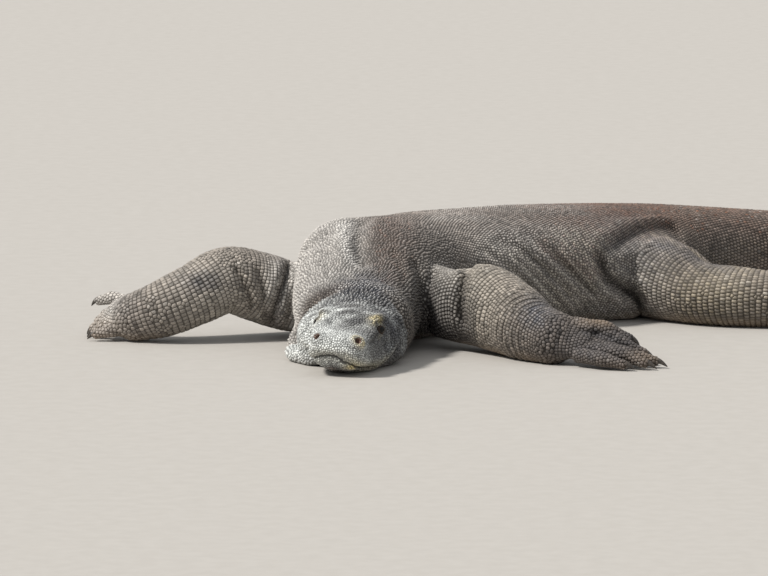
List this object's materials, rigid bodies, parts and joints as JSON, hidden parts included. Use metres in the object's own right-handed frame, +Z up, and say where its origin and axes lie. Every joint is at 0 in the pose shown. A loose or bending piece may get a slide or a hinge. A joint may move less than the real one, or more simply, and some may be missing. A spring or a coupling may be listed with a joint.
{
  "type": "komodo dragon",
  "caption": "Life-size Komodo dragon lying flat on its belly, chin on the ground, arms spread, body curled to its left and tail laid out behind.",
  "frame": {"origin": "middle of the footprint, on the ground under the animal", "axes": "+Z up; the head faces -Y; the animal's left and its tail lie towards +X"},
  "size_m": [2.2482, 1.4166, 0.182],
  "materials": {
    "skin": "dry grey-brown scaly hide",
    "eye": "wet dark brown eye",
    "horn": "dark horn, worn and slightly glossy"
  },
  "bodies": {
    "root": {"head": "skin", "neck": "skin", "trunk_front": "skin", "trunk_rear": "skin", "tail_1": "skin", "tail_2": "skin", "tail_3": "skin", "tail_4": "skin", "upper_arm_left": "skin", "forearm_left": "skin", "hand_left": "skin", "thigh_left": "skin", "shin_left": "skin", "foot_left": "skin", "upper_arm_right": "skin", "forearm_right": "skin", "hand_right": "skin", "thigh_right": "skin", "shin_right": "skin", "foot_right": "skin", "eye_left": "eye", "eye_right": "eye", "claw_arm_left_1": "horn", "claw_arm_left_2": "horn", "claw_arm_left_3": "horn", "claw_arm_left_4": "horn", "claw_arm_left_5": "horn", "claw_arm_right_1": "horn", "claw_arm_right_2": "horn", "claw_arm_right_3": "horn", "claw_arm_right_4": "horn", "claw_arm_right_5": "horn", "claw_leg_left_1": "horn", "claw_leg_left_2": "horn", "claw_leg_left_3": "horn", "claw_leg_left_4": "horn", "claw_leg_left_5": "horn", "claw_leg_right_1": "horn", "claw_leg_right_2": "horn", "claw_leg_right_3": "horn", "claw_leg_right_4": "horn", "claw_leg_right_5": "horn"}
  },
  "joints": []
}
